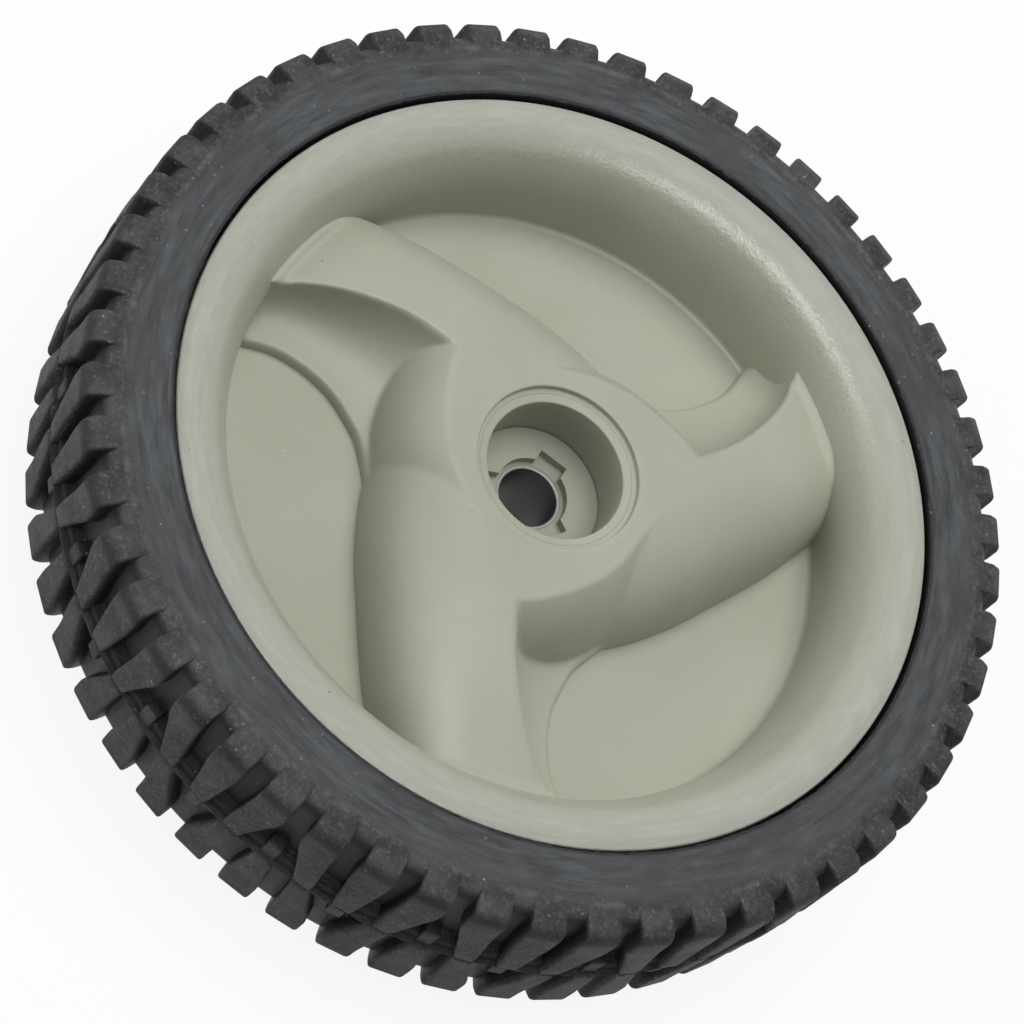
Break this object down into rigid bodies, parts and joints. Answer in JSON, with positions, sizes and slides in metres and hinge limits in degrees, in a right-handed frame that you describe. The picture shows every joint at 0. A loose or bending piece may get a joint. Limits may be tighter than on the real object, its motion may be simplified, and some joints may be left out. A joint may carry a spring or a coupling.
{
  "type": "lawn mower wheel",
  "caption": "Small wheel for a walk-behind lawn mower: grey-green plastic hub with swirl spokes, deep bolt recess and metal axle bush, in a black rubber tyre with leaning tread lugs.",
  "frame": {"origin": "on the axle line, level with the back face of the tyre, on which the wheel lies", "axes": "+Z along the axle, out of the wheel's outer face; +X and +Y across the wheel, with one spoke pointing to -X"},
  "size_m": [0.2042, 0.2042, 0.045],
  "materials": {
    "tyre_rubber": "matt moulded rubber",
    "hub_plastic": "satin moulded plastic",
    "bush_metal": "plain turned sleeve"
  },
  "bodies": {
    "root": {"tyre": "tyre_rubber", "wheel_hub": "hub_plastic", "axle_bush": "bush_metal"}
  },
  "joints": []
}
